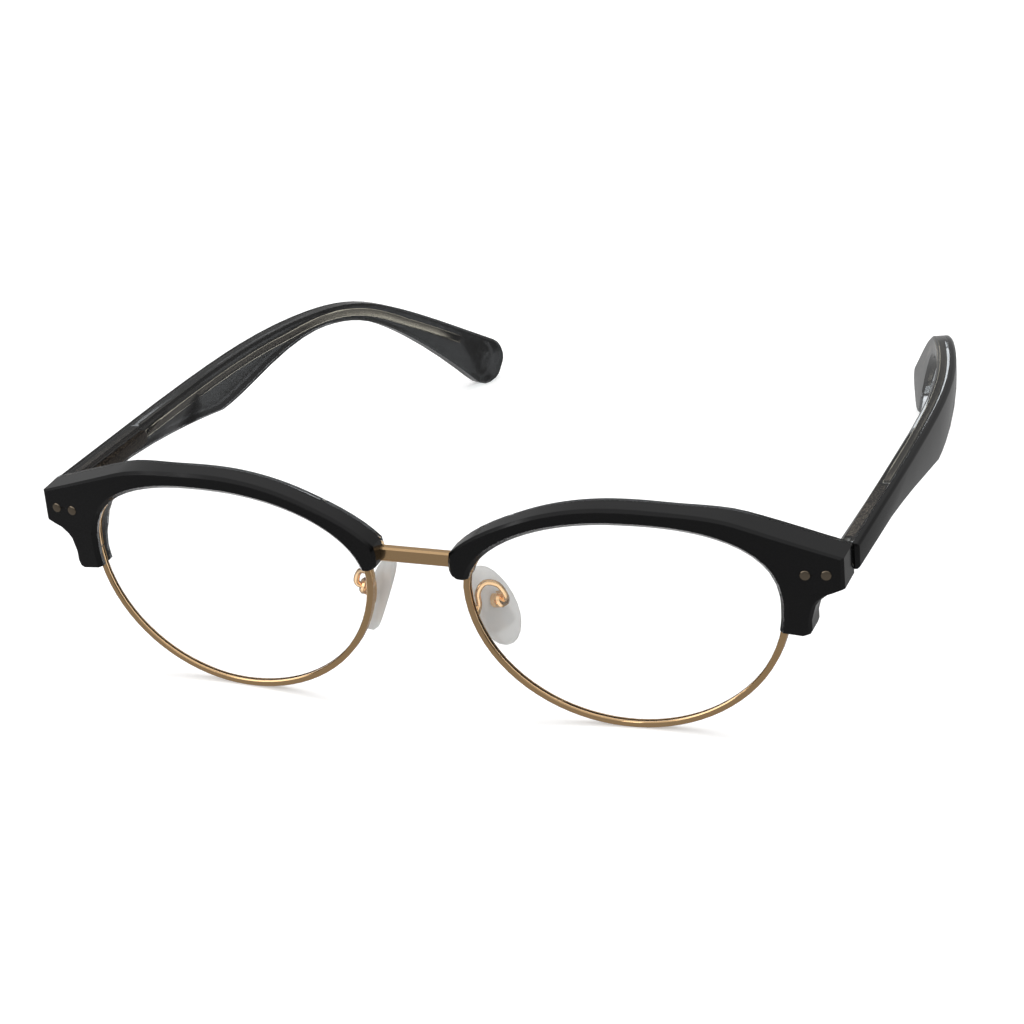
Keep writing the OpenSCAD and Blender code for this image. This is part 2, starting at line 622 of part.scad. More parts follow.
// Nose pads, in their own frame: z towards the nose, y up along the pad
pad_lean = 22.5;
pad_splay = 28;
pivot = front_pt(11.9, 18.95, 5.9);
module on_pad() {
    translate(pivot) rotate([0, -pad_lean, 0]) rotate([0, 0, -pad_splay]) rotate([90, 0, -90]) children();
}
box_l = 2;
tongue_t = 0.7;
tongue_r = 0.8;
tongue_at = 0.1;
pad_gap = 0.5;
pad_mid = box_l / 2 + pad_gap + pad_t / 2;
pad_drop = 1;
module box_solid() {
    on_pad() difference() {
        translate([0, 0, -box_l / 2]) rotate_extrude()
            polygon([[0, 0], [box_r - 0.35, 0], [box_r, 0.35], [box_r, box_l], [0, box_l]]);
        translate([-tongue_t / 2 - play, -2, tongue_at - tongue_r - 0.1]) cube([tongue_t + 2 * play, 4, 4]);
        translate([-2, 0, tongue_at]) rotate([0, 90, 0]) cylinder(r = pad_pin_r, h = 4);
    }
}
module pad_screw() {
    on_pad() translate([0, 0, tongue_at]) rotate([0, 90, 0]) {
        translate([0, 0, -box_r + 0.1]) cylinder(r = pad_pin_r, h = 2 * box_r - 0.1);
        translate([0, 0, box_r]) cylinder(r = 0.6, h = 0.3);
    }
}
insert_t = 0.5;
module insert_solid() {
    on_pad() difference() {
        union() {
            translate([-tongue_t / 2, 0, tongue_at]) rotate([0, 90, 0]) cylinder(r = tongue_r, h = tongue_t);
            translate([-tongue_t / 2, -0.5, tongue_at]) cube([tongue_t, 1, pad_mid - tongue_at]);
            translate([0, -pad_drop, pad_mid - insert_t / 2]) intersection() {
                cylinder(r = pad_l * 0.3, h = insert_t);
                translate([-pad_w * 0.27, -pad_l, -1]) cube([pad_w * 0.54, 2 * pad_l, 3]);
            }
        }
        translate([-2, 0, tongue_at]) rotate([0, 90, 0]) cylinder(r = pad_pin_r + play, h = 4);
    }
}
// Pad: an oval that thins towards its edge and is hollowed towards the nose
pad_rings = [[0.86, -0.5], [1, -0.18], [1, 0.14], [0.9, 0.38]];
function pad_pt(a, k, z) =
    [pad_w / 2 * k * cos(a) * (1 - 0.12 * sin(a)), pad_l / 2 * k * sin(a) - pad_drop,
     pad_mid + z * pad_t - 0.35 * pow(cos(a) * k, 2)];
module pad_solid() {
    angles = [for (a = [0 : 15 : 345]) a];
    rows = [for (q = pad_rings) [for (a = angles) pad_pt(a, q[0], q[1])]];
    on_pad() difference() {
        skin(rows);
        translate([-tongue_t / 2, -0.5, 0]) cube([tongue_t, 1, pad_mid]);
        translate([0, -pad_drop, pad_mid - insert_t / 2]) intersection() {
            cylinder(r = pad_l * 0.3, h = insert_t);
            translate([-pad_w * 0.27, -pad_l, -1]) cube([pad_w * 0.54, 2 * pad_l, 3]);
        }
    }
}

// Pad arms: a wire from the back of the rim, up and over into the box
arm_a = 192;
arm_root = [eye_u + ring_r(arm_a, rim_t / 2) * cos(arm_a), eye_v + ring_r(arm_a, rim_t / 2) * sin(arm_a)];
// A point of the pads' frame, in the model's frame
function pad_world(p) =
    let (x = -p[2] * cos(pad_splay) - p[0] * sin(pad_splay), y = p[2] * sin(pad_splay) - p[0] * cos(pad_splay))
    pivot + [x * cos(pad_lean) - p[1] * sin(pad_lean), y, x * sin(pad_lean) + p[1] * cos(pad_lean)];
root = front_pt(arm_root[0], arm_root[1], rim_d);
root_way = [0, cos(lean), sin(lean)];
box_back = pad_world([0, 0, -box_l / 2]);
box_way = unit(pad_world([0, 0, 1]) - pivot);
arm_way = [root - root_way, root, root + [0.1, 1.2, 1.2], front_pt(9.3, 21.4, 3),
           front_pt(10.4, 22.9, 3.7), front_pt(12.2, 22.3, 4.6), pad_world([0, 0.7, -1.9]),
           box_back, box_back + box_way];
function bend(p, i, t) =
    (p[i] * 2 + (p[i + 1] - p[i - 1]) * t + (p[i - 1] * 2 - p[i] * 5 + p[i + 1] * 4 - p[i + 2]) * t * t
     + (p[i] * 3 - p[i - 1] - p[i + 1] * 3 + p[i + 2]) * t * t * t) / 2;
module arm_wire() {
    steps = 4;
    last = len(arm_way) - 3;
    path = [for (i = [1 : last]) for (t = [0 : steps - 1]) bend(arm_way, i, t / steps)];
    line = concat(path, [box_back]);
    n = len(line);
    ways = concat([root_way], [for (i = [1 : n - 2]) unit(line[i + 1] - line[i - 1])], [box_way]);
    skin([for (i = [0 : n - 1])
          let (one = unit(cross(ways[i], [0.6, -0.77, 0.1])), two = cross(ways[i], one))
          [for (b = [22.5 : 45 : 359]) line[i] + (one * cos(b) + two * sin(b)) * arm_r]]);
}

// Brow layers with their pockets
module brow_black() {
    difference() {
        brow_layer(false);
        bridge_slot();
        lug_block(0);
        lock_space();
        on_front(lock_u, lock_v) translate([lock_w / 2, 0, lock_back / 2]) rotate([-90, 0, 0]) cylinder(r = 0.8, h = 9);
        brow_screw_hole();
        rivets(rivet_r);
    }
}
module brow_clear() {
    difference() {
        brow_layer(true);
        bridge_slot();
        brow_screw_hole();
        rivets(rivet_r);
        leaf_plate();
    }
}
module other_side() {
    mirror([1, 0, 0]) children();
}
module both_sides() {
    children();
    other_side() children();
}

module rim_right() {
    color(gold) other_side() rim_ring();
}
module rim_left() {
    color(gold) rim_ring();
}
module bridge() {
    color(gold) bridge_bar();
}
module brow_right() {
    color(black) other_side() brow_black();
}
module brow_left() {
    color(black) brow_black();
}
module brow_backing_right() {
    color(clear) other_side() brow_clear();
}
module brow_backing_left() {
    color(clear) brow_clear();
}
module lens_right() {
    color(clear) other_side() lens_solid();
}
module lens_left() {
    color(clear) lens_solid();
}
module rim_lock_right() {
    color(gold) other_side() lock_blocks();
}
module rim_lock_left() {
    color(gold) lock_blocks();
}
module hinge_leaf_right() {
    color(steel) other_side() leaf_solid();
}
module hinge_leaf_left() {
    color(steel) leaf_solid();
}
module pad_arm_right() {
    color(gold) other_side() arm_wire();
}
module pad_arm_left() {
    color(gold) arm_wire();
}
module pad_box_right() {
    color(gold) other_side() box_solid();
}
module pad_box_left() {
    color(gold) box_solid();
}
module nose_pad_right() {
    color(clear) other_side() pad_solid();
}
module nose_pad_left() {
    color(clear) pad_solid();
}
module pad_insert_right() {
    color(gold) other_side() insert_solid();
}
module pad_insert_left() {
    color(gold) insert_solid();
}
module hinge_slider_right() {
    color(steel) other_side() slider_solid();
}
module hinge_slider_left() {
    color(steel) slider_solid();
}
module spring_rod_right() {
    color(steel) other_side() rod_solid();
}
module spring_rod_left() {
    color(steel) rod_solid();
}
module spring_housing_right() {
    color(steel) other_side() housing_solid();
}
module spring_housing_left() {
    color(steel) housing_solid();
}
module hinge_spring_right() {
    color(steel) other_side() coil_solid();
}
module hinge_spring_left() {
    color(steel) coil_solid();
}
module housing_plug_right() {
    color(steel) other_side() plug_solid();
}
module housing_plug_left() {
    color(steel) plug_solid();
}
module core_wire_right() {
    color(steel) other_side() wire_solid();
}
module core_wire_left() {
    color(steel) wire_solid();
}
module temple_inner_right() {
    color(clear) other_side() inner_solid();
}
module temple_inner_left() {
    color(clear) inner_solid();
}
module temple_outer_right() {
    color(black) other_side() outer_solid();
}
module temple_outer_left() {
    color(black) outer_solid();
}
module rim_lock_screws() {
    color(steel) both_sides() lock_screw();
}
module brow_lugs() {
    color(gold) both_sides() brow_lug();
}
module brow_screws() {
    color(steel) both_sides() brow_screw();
}
module front_rivets() {
    color(steel) both_sides() rivets(rivet_r);
}
module hinge_screws() {
    color(steel) both_sides() hinge_screw();
}
module pad_screws() {
    color(gold) both_sides() pad_screw();
}

rim_right();
rim_left();
bridge();
brow_right();
brow_left();
brow_backing_right();
brow_backing_left();
lens_right();
lens_left();
rim_lock_right();
rim_lock_left();
rim_lock_screws();
brow_lugs();
brow_screws();
front_rivets();
hinge_leaf_right();
hinge_leaf_left();
hinge_screws();
pad_arm_right();
pad_arm_left();
pad_box_right();
pad_box_left();
pad_screws();
nose_pad_right();
nose_pad_left();
pad_insert_right();
pad_insert_left();
hinge_slider_right();
hinge_slider_left();
spring_rod_right();
spring_rod_left();
spring_housing_right();
spring_housing_left();
hinge_spring_right();
hinge_spring_left();
housing_plug_right();
housing_plug_left();
core_wire_right();
core_wire_left();
temple_inner_right();
temple_inner_left();
temple_outer_right();
temple_outer_left();
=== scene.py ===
from math import radians

import bmesh
import bpy
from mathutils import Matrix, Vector


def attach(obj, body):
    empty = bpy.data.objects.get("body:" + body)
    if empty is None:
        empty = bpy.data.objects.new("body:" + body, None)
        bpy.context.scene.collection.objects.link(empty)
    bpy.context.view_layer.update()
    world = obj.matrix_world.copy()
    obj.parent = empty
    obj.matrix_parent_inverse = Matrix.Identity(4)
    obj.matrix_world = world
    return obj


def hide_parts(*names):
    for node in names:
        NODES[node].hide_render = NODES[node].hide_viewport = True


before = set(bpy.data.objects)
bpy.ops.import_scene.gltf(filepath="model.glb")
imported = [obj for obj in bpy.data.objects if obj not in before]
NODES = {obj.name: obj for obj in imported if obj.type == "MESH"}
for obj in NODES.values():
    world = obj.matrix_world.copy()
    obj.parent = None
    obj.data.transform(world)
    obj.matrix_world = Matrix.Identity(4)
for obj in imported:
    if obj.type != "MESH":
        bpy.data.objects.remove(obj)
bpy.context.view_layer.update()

MM = 0.001

# Refraction of the plastics
ACETATE_IOR = 1.48
LENS_IOR = 1.5
SILICONE_IOR = 1.41

# Sockets of a Mix node that mixes colours: its two colours and what it gives
COLOUR_A = 6
COLOUR_B = 7
COLOUR_OUT = 2

# Vertices closer than this are one, and faces that differ by less than this angle are one flat face
MERGE_MM = 0.002
FLAT_DEG = 0.6

# How far a clear layer reaches into the black one it is glued to, past the glue line between them
GLUE_REACH_MM = 0.08

# The three sections of the end piece's outline at its lower corner, in mm outwards, the corner last.
# The solids hold them in another order, which leaves a thin fin at the corner.
END_SECTIONS_MM = (67.29, 68.40, 69.70)
END_CORNER_TOP_MM = 27.4
SECTION_SLACK_MM = 0.03
BROW_EDGE_MM = 0.5
BACKING_EDGE_MM = 0.3

# Strength at which a background shows pure white
WHITE = 1.0


# Camera: half right of the front and above it, as a close product shot
def set_camera():
    bpy.ops.object.camera_add(location=(0.187494, -0.468886, 0.223950),
                              rotation=(radians(66.527), radians(4.476), radians(21.272)))
    camera = bpy.context.object
    camera.name = "camera"
    camera.data.sensor_width = 36
    camera.data.lens = 105.66
    camera.data.clip_end = 20
    bpy.context.scene.camera = camera


# Materials
def linear(hex_colour):
    """sRGB hex to the linear colour that a shader takes."""
    parts = [int(hex_colour[i:i + 2], 16) / 255 for i in (1, 3, 5)]
    return [p / 12.92 if p <= 0.04045 else ((p + 0.055) / 1.055) ** 2.4 for p in parts] + [1]


def per_mm(size_mm):
    """The scale of a pattern whose marks are this far apart."""
    return 1 / (size_mm * MM)


def add(tree, kind, settings=None, **links):
    """One node: its properties and socket values from settings, its inputs from links."""
    node = tree.nodes.new(kind)
    for key, value in (settings or {}).items():
        if key in node.inputs:
            node.inputs[key].default_value = value
        else:
            setattr(node, key, value)
    for key, source in links.items():
        tree.links.new(source, node.inputs[key.replace("_", " ")])
    return node


def new_material(name):
    """An empty node tree with its output node, and the material it belongs to."""
    material = bpy.data.materials.new(name)
    material.use_nodes = True
    material.node_tree.nodes.clear()
    return material, material.node_tree, add(material.node_tree, "ShaderNodeOutputMaterial")


def tint_shadow(tree, shader, out, tint):
    """A see-through piece throws a pale shadow in its own tint, and shows its shader otherwise."""
    ray = add(tree, "ShaderNodeLightPath")
    through = add(tree, "ShaderNodeBsdfTransparent", {"Color": linear(tint)})
    mixed = add(tree, "ShaderNodeMixShader", None, Fac=ray.outputs["Is Shadow Ray"])
    tree.links.new(shader.outputs["BSDF"], mixed.inputs[1])
    tree.links.new(through.outputs["BSDF"], mixed.inputs[2])
    tree.links.new(mixed.outputs["Shader"], out.inputs["Surface"])


def polished_black_acetate():
    # Cellulose acetate, tumbled and buffed: a deep wet gloss with the faintest unevenness in it,
    # and edges that the buffing has softened, so that they catch a thin line of light
    wave_mm = 3.85
    haze_mm = 1.11
    soft_edge_mm = 0.15
    wave_height_mm = 0.1
    material, tree, out = new_material("polished_black_acetate")
    place = add(tree, "ShaderNodeTexCoord")
    wave = add(tree, "ShaderNodeTexNoise", {"Scale": per_mm(wave_mm), "Detail": 1.0},
               Vector=place.outputs["Object"])
    edge = add(tree, "ShaderNodeBevel", {"samples": 4, "Radius": soft_edge_mm * MM})
    bump = add(tree, "ShaderNodeBump", {"Strength": 0.03, "Distance": wave_height_mm * MM},
               Height=wave.outputs["Fac"], Normal=edge.outputs["Normal"])
    haze = add(tree, "ShaderNodeTexNoise", {"Scale": per_mm(haze_mm), "Detail": 2.0},
               Vector=place.outputs["Object"])
    rough = add(tree, "ShaderNodeMapRange", {"To Min": 0.10, "To Max": 0.16}, Value=haze.outputs["Fac"])
    shader = add(tree, "ShaderNodeBsdfPrincipled",
                 {"Base Color": linear("#040405"), "IOR": ACETATE_IOR},
                 Roughness=rough.outputs["Result"], Normal=bump.outputs["Normal"])
    tree.links.new(shader.outputs["BSDF"], out.inputs["Surface"])
    return material


def clear_acetate():
    # Clear cellulose acetate: clear with a cool, slightly smoked tint, polished on every face
    material, tree, out = new_material("clear_acetate")
    shader = add(tree, "ShaderNodeBsdfPrincipled",
                 {"Base Color": linear("#d3d8dc"), "IOR": ACETATE_IOR, "Roughness": 0.0,
                  "Transmission Weight": 1.0})
    tint_shadow(tree, shader, out, "#e2e6e4")
    return material


def lens_glass():
    # Demo lens, hard-coated plastic: thin, clear and free of colour
    material, tree, out = new_material("lens_glass")
    shader = add(tree, "ShaderNodeBsdfPrincipled",
                 {"Base Color": linear("#ffffff"), "IOR": LENS_IOR, "Roughness": 0.0,
                  "Transmission Weight": 1.0})
    tint_shadow(tree, shader, out, "#fbfcfc")
    return material


def satin_metal(name, colour, rough_low, rough_high, grain_mm):
    """A plated or turned metal with a fine haze in its gloss."""
    grain_height_mm = 0.02
    material, tree, out = new_material(name)
    place = add(tree, "ShaderNodeTexCoord")
    grain = add(tree, "ShaderNodeTexNoise", {"Scale": per_mm(grain_mm), "Detail": 2.0},
                Vector=place.outputs["Object"])
    rough = add(tree, "ShaderNodeMapRange", {"To Min": rough_low, "To Max": rough_high},
                Value=grain.outputs["Fac"])
    bump = add(tree, "ShaderNodeBump", {"Strength": 0.05, "Distance": grain_height_mm * MM},
               Height=grain.outputs["Fac"])
    shader = add(tree, "ShaderNodeBsdfPrincipled", {"Base Color": linear(colour), "Metallic": 1.0},
                 Roughness=rough.outputs["Result"], Normal=bump.outputs["Normal"])
    tree.links.new(shader.outputs["BSDF"], out.inputs["Surface"])
    return material


def stippled_nickel():
    # Spring housing, cast nickel silver: a fine stippled face, worn pale on the marks and dark between
    stipple_mm = 0.3125
    stipple_height_mm = 0.06
    material, tree, out = new_material("stippled_nickel")
    place = add(tree, "ShaderNodeTexCoord")
    cells = add(tree, "ShaderNodeTexVoronoi", {"Scale": per_mm(stipple_mm)}, Vector=place.outputs["Object"])
    bump = add(tree, "ShaderNodeBump", {"Strength": 0.6, "Distance": stipple_height_mm * MM},
               Height=cells.outputs["Distance"])
    shade = add(tree, "ShaderNodeMapRange", {"From Max": 0.6}, Value=cells.outputs["Distance"])
    mix = add(tree, "ShaderNodeMix", {"data_type": "RGBA"}, Factor=shade.outputs["Result"])
    mix.inputs[COLOUR_A].default_value = linear("#74695c")
    mix.inputs[COLOUR_B].default_value = linear("#2f2a26")
    shader = add(tree, "ShaderNodeBsdfPrincipled", {"Metallic": 1.0, "Roughness": 0.38},
                 Normal=bump.outputs["Normal"])
    tree.links.new(mix.outputs[COLOUR_OUT], shader.inputs["Base Color"])
    tree.links.new(shader.outputs["BSDF"], out.inputs["Surface"])
    return material


def wire_painted_highlights():
    # Core wire, drawn nickel silver, coloured by which way its faces look: painted highlights make its
    # rounded edges bright lines, and painted shade keeps its flat sides dark
    material, tree, out = new_material("wire_painted_highlights")
    place = add(tree, "ShaderNodeTexCoord")
    way = add(tree, "ShaderNodeSeparateXYZ", None, Vector=place.outputs["Normal"])
    side = add(tree, "ShaderNodeMath", {"operation": "ABSOLUTE"})
    tree.links.new(way.outputs["X"], side.inputs[0])
    # 1 on the rounded edges alone, which look half sideways: this is where the painted highlight goes
    low = add(tree, "ShaderNodeMapRange", {"From Min": 0.15, "From Max": 0.4}, Value=side.outputs["Value"])
    high = add(tree, "ShaderNodeMapRange", {"From Min": 0.97, "From Max": 0.82}, Value=side.outputs["Value"])
    edge = add(tree, "ShaderNodeMath", {"operation": "MULTIPLY"})
    tree.links.new(low.outputs["Result"], edge.inputs[0])
    tree.links.new(high.outputs["Result"], edge.inputs[1])
    # Painted light: the pale colour is a painted highlight on the rounded edges, and the dark one is painted
    # shade on the flat sides
    mix = add(tree, "ShaderNodeMix", {"data_type": "RGBA"}, Factor=edge.outputs["Value"])
    mix.inputs[COLOUR_A].default_value = linear("#3d3832")
    mix.inputs[COLOUR_B].default_value = linear("#efe4ce")
    shader = add(tree, "ShaderNodeBsdfPrincipled", {"Metallic": 1.0, "Roughness": 0.16})
    tree.links.new(mix.outputs[COLOUR_OUT], shader.inputs["Base Color"])
    tree.links.new(shader.outputs["BSDF"], out.inputs["Surface"])
    return material


def pad_silicone():
    # Nose pads, moulded silicone with a frosted skin: milky, with the metal inside only just to be seen
    skin_mm = 0.667
    material, tree, out = new_material("pad_silicone")
    place = add(tree, "ShaderNodeTexCoord")
    skin = add(tree, "ShaderNodeTexNoise", {"Scale": per_mm(skin_mm), "Detail": 2.0},
               Vector=place.outputs["Object"])
    rough = add(tree, "ShaderNodeMapRange", {"To Min": 0.3, "To Max": 0.4}, Value=skin.outputs["Fac"])
    shader = add(tree, "ShaderNodeBsdfPrincipled",
                 {"Base Color": linear("#e9e9e7"), "IOR": SILICONE_IOR, "Transmission Weight": 0.35},
                 Roughness=rough.outputs["Result"])
    tint_shadow(tree, shader, out, "#c8c8c8")
    return material


# Pieces: a finished copy of a CAD node, with its joins closed and its edges eased
def squared_end(piece, edge_mm):
    """Puts the sections at the end piece's lower corner in their order outwards."""
    rows = [[], [], []]
    for vert in piece.data.vertices:
        reach = abs(vert.co.x) / MM
        for row, place in zip(rows, END_SECTIONS_MM):
            # The eased edge of a section lies that much further in than the rest of it
            away = min(abs(reach - place), abs(reach + edge_mm - place))
            if away < SECTION_SLACK_MM and vert.co.z < END_CORNER_TOP_MM * MM:
                row.append(vert)
    rows = [sorted(row, key=lambda vert: vert.co.y) for row in rows]
    places = [[vert.co.copy() for vert in row] for row in rows]
    inner, middle, corner = rows
    for row, target in zip((corner, inner, middle), places):
        for vert, place in zip(row, target):
            vert.co = place


def copied(node, name, end_edge_mm):
    """A copy of a node's mesh as an object of its own, merged, with flat faces joined up."""
    bpy.ops.object.select_all(action="DESELECT")
    piece = bpy.data.objects.new(name, NODES[node].data.copy())
    bpy.context.scene.collection.objects.link(piece)
    bpy.context.view_layer.objects.active = piece
    piece.select_set(True)
    bpy.ops.object.mode_set(mode="EDIT")
    bpy.ops.mesh.select_all(action="SELECT")
    bpy.ops.mesh.remove_doubles(threshold=MERGE_MM * MM)
    if end_edge_mm:
        bpy.ops.object.mode_set(mode="OBJECT")
        squared_end(piece, end_edge_mm)
        bpy.ops.object.mode_set(mode="EDIT")
    bpy.ops.mesh.dissolve_limited(angle_limit=radians(FLAT_DEG))
    bpy.ops.object.mode_set(mode="OBJECT")
    return piece


def one_shell(piece):
    """Drops the hollows inside a clear piece: what fills them is moulded in, with no air round it."""
    mesh = bmesh.new()
    mesh.from_mesh(piece.data)
    left = set(mesh.verts)
    shells = []
    while left:
        todo = [left.pop()]
        shell = []
        while todo:
            vert = todo.pop()
            shell.append(vert)
            near = [edge.other_vert(vert) for edge in vert.link_edges]
            todo += [v for v in near if v in left]
            left -= set(near)
        shells.append(shell)
    outer = max(shells, key=lambda shell: max(v.co.y for v in shell) - min(v.co.y for v in shell))
    hollows = [v for shell in shells if shell is not outer for v in shell]
    bmesh.ops.delete(mesh, geom=hollows, context="VERTS")
    mesh.to_mesh(piece.data)
    mesh.free()


def pressed(piece, way):
    """Moves the faces that look along a direction a little that way, into the layer glued to them."""
    facing = 0.6
    way = Vector(way)
    joined = {v for face in piece.data.polygons if face.normal.dot(way) > facing for v in face.vertices}
    for index in joined:
        piece.data.vertices[index].co += way * GLUE_REACH_MM * MM


def grown(piece, distance_mm):
    """Lets a metal piece reach just into the acetate that holds it."""
    bpy.ops.object.mode_set(mode="EDIT")
    bpy.ops.mesh.select_all(action="SELECT")
    bpy.ops.transform.shrink_fatten(value=distance_mm * MM)
    bpy.ops.object.mode_set(mode="OBJECT")


def eased(piece, width_mm):
    """Rounds the sharp edges with a narrow bevel."""
    bevel = piece.modifiers.new("bevel", "BEVEL")
    bevel.width = width_mm * MM
    bevel.segments = 2
    bevel.limit_method = "ANGLE"
    bevel.angle_limit = radians(32)
    bevel.use_clamp_overlap = True
    bpy.ops.object.modifier_apply(modifier=bevel.name)


def evened(piece):
    """Broad faces give their own normal to the slivers round the rivet holes."""
    even = piece.modifiers.new("even", "WEIGHTED_NORMAL")
    even.keep_sharp = True
    bpy.ops.object.modifier_apply(modifier=even.name)


def dressed(node, material, body, bevel_mm=0, smooth=30, glued=None, grow_mm=0, end_edge_mm=0):
    """The finished copy of a node, on that node's body and in its place.

    smooth is the angle below which faces run into one another, glued the way a clear layer faces the
    black one, and end_edge_mm the eased edge of a layer that makes an end piece.
    """
    piece = copied(node, node + "_finished", end_edge_mm)
    if glued:
        one_shell(piece)
        pressed(piece, glued)
    if grow_mm:
        grown(piece, grow_mm)
    if bevel_mm:
        eased(piece, bevel_mm)
    bpy.ops.object.shade_smooth_by_angle(angle=radians(smooth))
    if end_edge_mm:
        evened(piece)
    piece.data.materials.clear()
    piece.data.materials.append(material)
    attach(piece, body)
    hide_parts(node)


def painted(node, material):
    """A node whose own shape is right gets its material."""
    mesh = NODES[node].data
    mesh.materials.clear()
    mesh.materials.append(material)


# Stage: a white floor that keeps a soft shadow, and soft light all round
def seen_rays(tree, ray):
    """1 for a ray that comes straight from the eye or has passed through glass, else 0."""
    seen = add(tree, "ShaderNodeMath", {"operation": "MAXIMUM"})
    tree.links.new(ray.outputs["Is Camera Ray"], seen.inputs[0])
    tree.links.new(ray.outputs["Is Transmission Ray"], seen.inputs[1])
    return seen.outputs["Value"]


def gloss_rays(tree, ray, seen):
    """1 for a ray off a glossy surface that is not also a seen one, else 0."""
    rest = add(tree, "ShaderNodeMath", {"operation": "SUBTRACT", "use_clamp": True})
    tree.links.new(ray.outputs["Is Glossy Ray"], rest.inputs[0])
    tree.links.new(seen, rest.inputs[1])
    return rest.outputs["Value"]


def white_table():
    """The floor's material: seen as white with a shadow, and mirrored as a dim table."""
    lift_near = 0.30
    lamps_fade_from = 0.4
    lamps_fade_to = 1.5
    material, tree, out = new_material("white_floor")
    place = add(tree, "ShaderNodeTexCoord")
    ray = add(tree, "ShaderNodeLightPath")
    seen = seen_rays(tree, ray)
    # A little glow brings the lit table up to white, and more of it far away, where the lamps fade
    away = add(tree, "ShaderNodeVectorMath", {"operation": "LENGTH"}, Vector=place.outputs["Object"])
    glow_level = add(tree, "ShaderNodeMapRange",
                     {"From Min": lamps_fade_from, "From Max": lamps_fade_to,
                      "To Min": lift_near, "To Max": WHITE},
                     Value=away.outputs["Value"])
    lift = add(tree, "ShaderNodeMath", {"operation": "MULTIPLY"})
    tree.links.new(seen, lift.inputs[0])
    tree.links.new(glow_level.outputs["Result"], lift.inputs[1])
    matt = add(tree, "ShaderNodeBsdfDiffuse", {"Color": linear("#f4f4f4")})
    glow = add(tree, "ShaderNodeEmission", {"Color": linear("#ffffff")}, Strength=lift.outputs["Value"])
    both = add(tree, "ShaderNodeAddShader")
    tree.links.new(matt.outputs["BSDF"], both.inputs[0])
    tree.links.new(glow.outputs["Emission"], both.inputs[1])
    # In gloss the table is dim in front of the glasses and paler behind them, as in a studio
    where = add(tree, "ShaderNodeSeparateXYZ", None, Vector=place.outputs["Object"])
    fade = add(tree, "ShaderNodeMapRange",
               {"From Min": -0.16, "From Max": 0.08, "To Min": 0.24, "To Max": 0.36},
               Value=where.outputs["Y"])
    mirrored = add(tree, "ShaderNodeEmission", {"Color": linear("#ffffff")}, Strength=fade.outputs["Result"])
    either = add(tree, "ShaderNodeMixShader", None, Fac=gloss_rays(tree, ray, seen))
    tree.links.new(both.outputs["Shader"], either.inputs[1])
    tree.links.new(mirrored.outputs["Emission"], either.inputs[2])
    tree.links.new(either.outputs["Shader"], out.inputs["Surface"])
    return material


def set_floor():
    floor_size = 8
    bpy.ops.object.select_all(action="DESELECT")
    bpy.ops.mesh.primitive_plane_add(size=floor_size, location=(0, 2, 0))
    floor = bpy.context.object
    floor.name = "floor"
    bpy.ops.object.transform_apply(location=True)
    floor.data.materials.append(white_table())


def set_world():
    matt_level = 0.62
    world = bpy.data.worlds.new("studio")
    bpy.context.scene.world = world
    world.use_nodes = True
    tree = world.node_tree
    tree.nodes.clear()
    out = add(tree, "ShaderNodeOutputWorld")
    ray = add(tree, "ShaderNodeLightPath")
    seen = seen_rays(tree, ray)
    # In gloss the room is dark low in front, paler behind and palest overhead
    place = add(tree, "ShaderNodeTexCoord")
    way = add(tree, "ShaderNodeSeparateXYZ", None, Vector=place.outputs["Generated"])
    above = add(tree, "ShaderNodeMapRange",
                {"From Min": 0.1, "From Max": 0.8, "To Min": 0.05, "To Max": 0.6},
                Value=way.outputs["Z"])
    behind = add(tree, "ShaderNodeMapRange",
                 {"From Min": 0.0, "From Max": 0.5, "To Min": 0.0, "To Max": 0.3},
                 Value=way.outputs["Y"])
    room = add(tree, "ShaderNodeMath", {"operation": "MAXIMUM"})
    tree.links.new(above.outputs["Result"], room.inputs[0])
    tree.links.new(behind.outputs["Result"], room.inputs[1])
    gloss = add(tree, "ShaderNodeMix", {"A": matt_level}, Factor=gloss_rays(tree, ray, seen),
                B=room.outputs["Value"])
    level = add(tree, "ShaderNodeMix", {"B": WHITE}, Factor=seen, A=gloss.outputs["Result"])
    sky = add(tree, "ShaderNodeBackground", {"Color": linear("#ffffff")}, Strength=level.outputs["Result"])
    tree.links.new(sky.outputs["Background"], out.inputs["Surface"])


def softbox(name, place, target, size, power, glossy):
    """An area lamp that faces the target, with or without its own reflection."""
    bpy.ops.object.light_add(type="AREA", location=place)
    lamp = bpy.context.object
    lamp.name = name
    lamp.data.shape = "RECTANGLE"
    lamp.data.size, lamp.data.size_y = size
    lamp.data.energy = power
    lamp.visible_glossy = glossy
    lamp.rotation_euler = (Vector(target) - Vector(place)).to_track_quat("-Z", "Y").to_euler()


def set_lamps():
    table = (0, 0, 0)
    glasses = (0, 0, 0.02)
    # The overhead lamp only lights: its mirror image would whiten the brows' top faces
    softbox("overhead", (0.0, 0.1, 0.9), table, size=(0.9, 0.7), power=4.5, glossy=False)
    # The front lamp draws a line of light along the rims, the side lamp one on what faces left
    softbox("front", (-0.3, -0.85, 0.6), glasses, size=(0.5, 0.2), power=0.7, glossy=True)
    softbox("side", (-0.7, -0.5, 0.5), glasses, size=(0.5, 0.5), power=1.2, glossy=True)


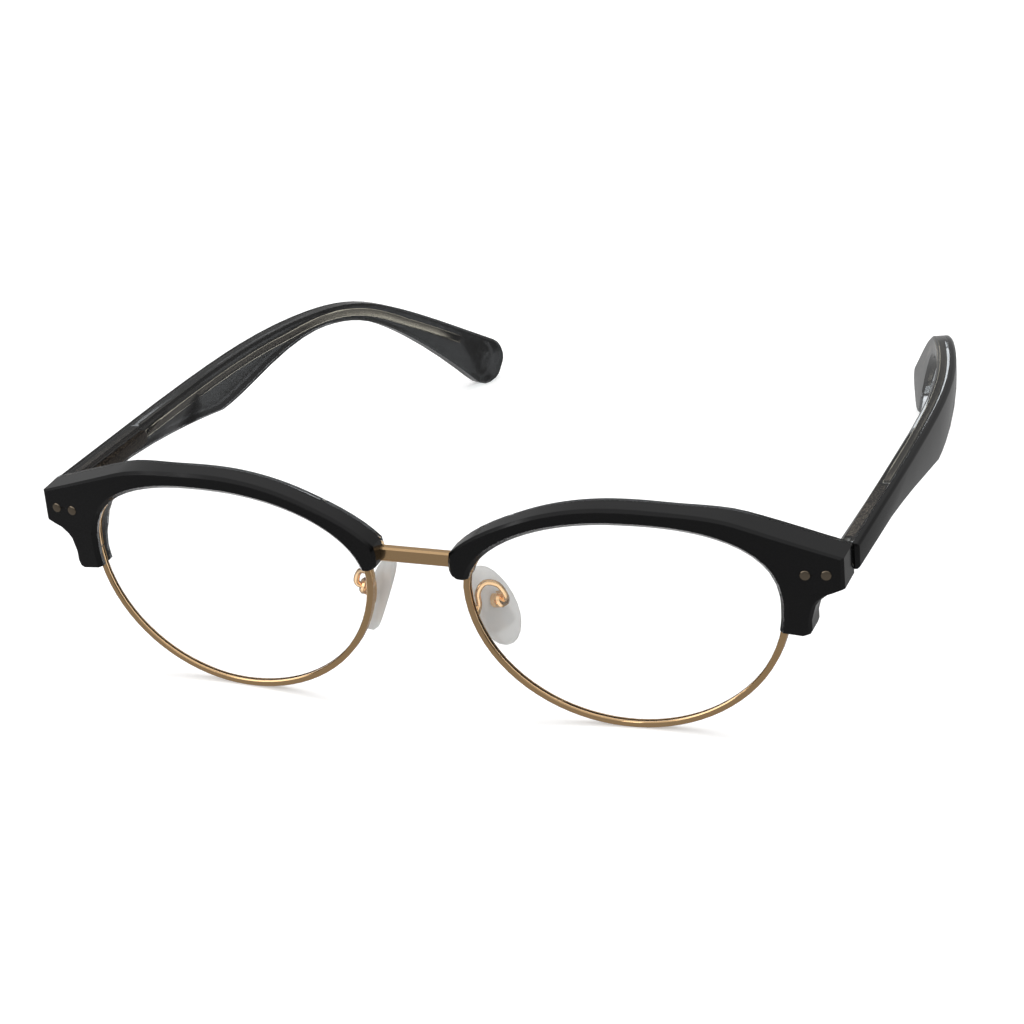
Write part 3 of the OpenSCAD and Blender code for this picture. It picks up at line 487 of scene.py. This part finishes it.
def main():
    set_camera()
    set_floor()
    set_world()
    set_lamps()

    black = polished_black_acetate()
    clear = clear_acetate()
    glass = lens_glass()
    # Pale gold plate on nickel silver, warm and slightly pink
    gold = satin_metal("pale_gold_plate", "#efc796", rough_low=0.14, rough_high=0.22, grain_mm=0.15)
    # Nickel silver as machined, for the hinges and screws: grey with a faint warmth
    nickel = satin_metal("nickel_silver", "#a49a8c", rough_low=0.24, rough_high=0.34, grain_mm=0.12)
    # Rivet heads, nickel with a fine turned face, painted darker than the other nickel: painted shade that
    # stands in for the dark surroundings the heads mirror
    rivet = satin_metal("nickel_painted_shade", "#8f8272", rough_low=0.18, rough_high=0.28, grain_mm=0.1)
    wire = wire_painted_highlights()
    housing = stippled_nickel()
    pad = pad_silicone()

    for side, out in (("right", -1), ("left", 1)):
        front_of_brow = (0, -1, 0)
        out_of_temple = (out, 0, 0)
        temple = "temple_" + side
        dressed("rim_" + side, gold, "front", smooth=40)
        dressed("brow_" + side, black, "front", smooth=28, end_edge_mm=BROW_EDGE_MM)
        dressed("brow_backing_" + side, clear, "front", smooth=28, glued=front_of_brow,
                end_edge_mm=BACKING_EDGE_MM)
        dressed("lens_" + side, glass, "front", smooth=20)
        painted("rim_lock_" + side, gold)
        dressed("hinge_leaf_" + side, nickel, "front", bevel_mm=0.06, grow_mm=0.02)
        dressed("pad_arm_" + side, gold, "front", smooth=60)
        painted("pad_box_" + side, gold)
        dressed("nose_pad_" + side, pad, "pad_rocker_" + side, smooth=60)
        painted("pad_insert_" + side, gold)
        painted("hinge_slider_" + side, nickel)
        painted("spring_rod_" + side, nickel)
        dressed("spring_housing_" + side, housing, temple, bevel_mm=0.1, smooth=35, grow_mm=0.03)
        dressed("hinge_spring_" + side, nickel, "slider_" + side, smooth=70)
        painted("housing_plug_" + side, nickel)
        dressed("core_wire_" + side, wire, temple, bevel_mm=0.2, smooth=40)
        dressed("temple_inner_" + side, clear, temple, glued=out_of_temple)
        dressed("temple_outer_" + side, black, temple, bevel_mm=0.12)
    painted("bridge", gold)
    painted("rim_lock_screws", nickel)
    painted("brow_lugs", gold)
    painted("brow_screws", nickel)
    dressed("front_rivets", rivet, "front", bevel_mm=0.2, smooth=50)
    painted("hinge_screws", nickel)
    painted("pad_screws", gold)

    bpy.context.scene.view_settings.view_transform = "Standard"


main()
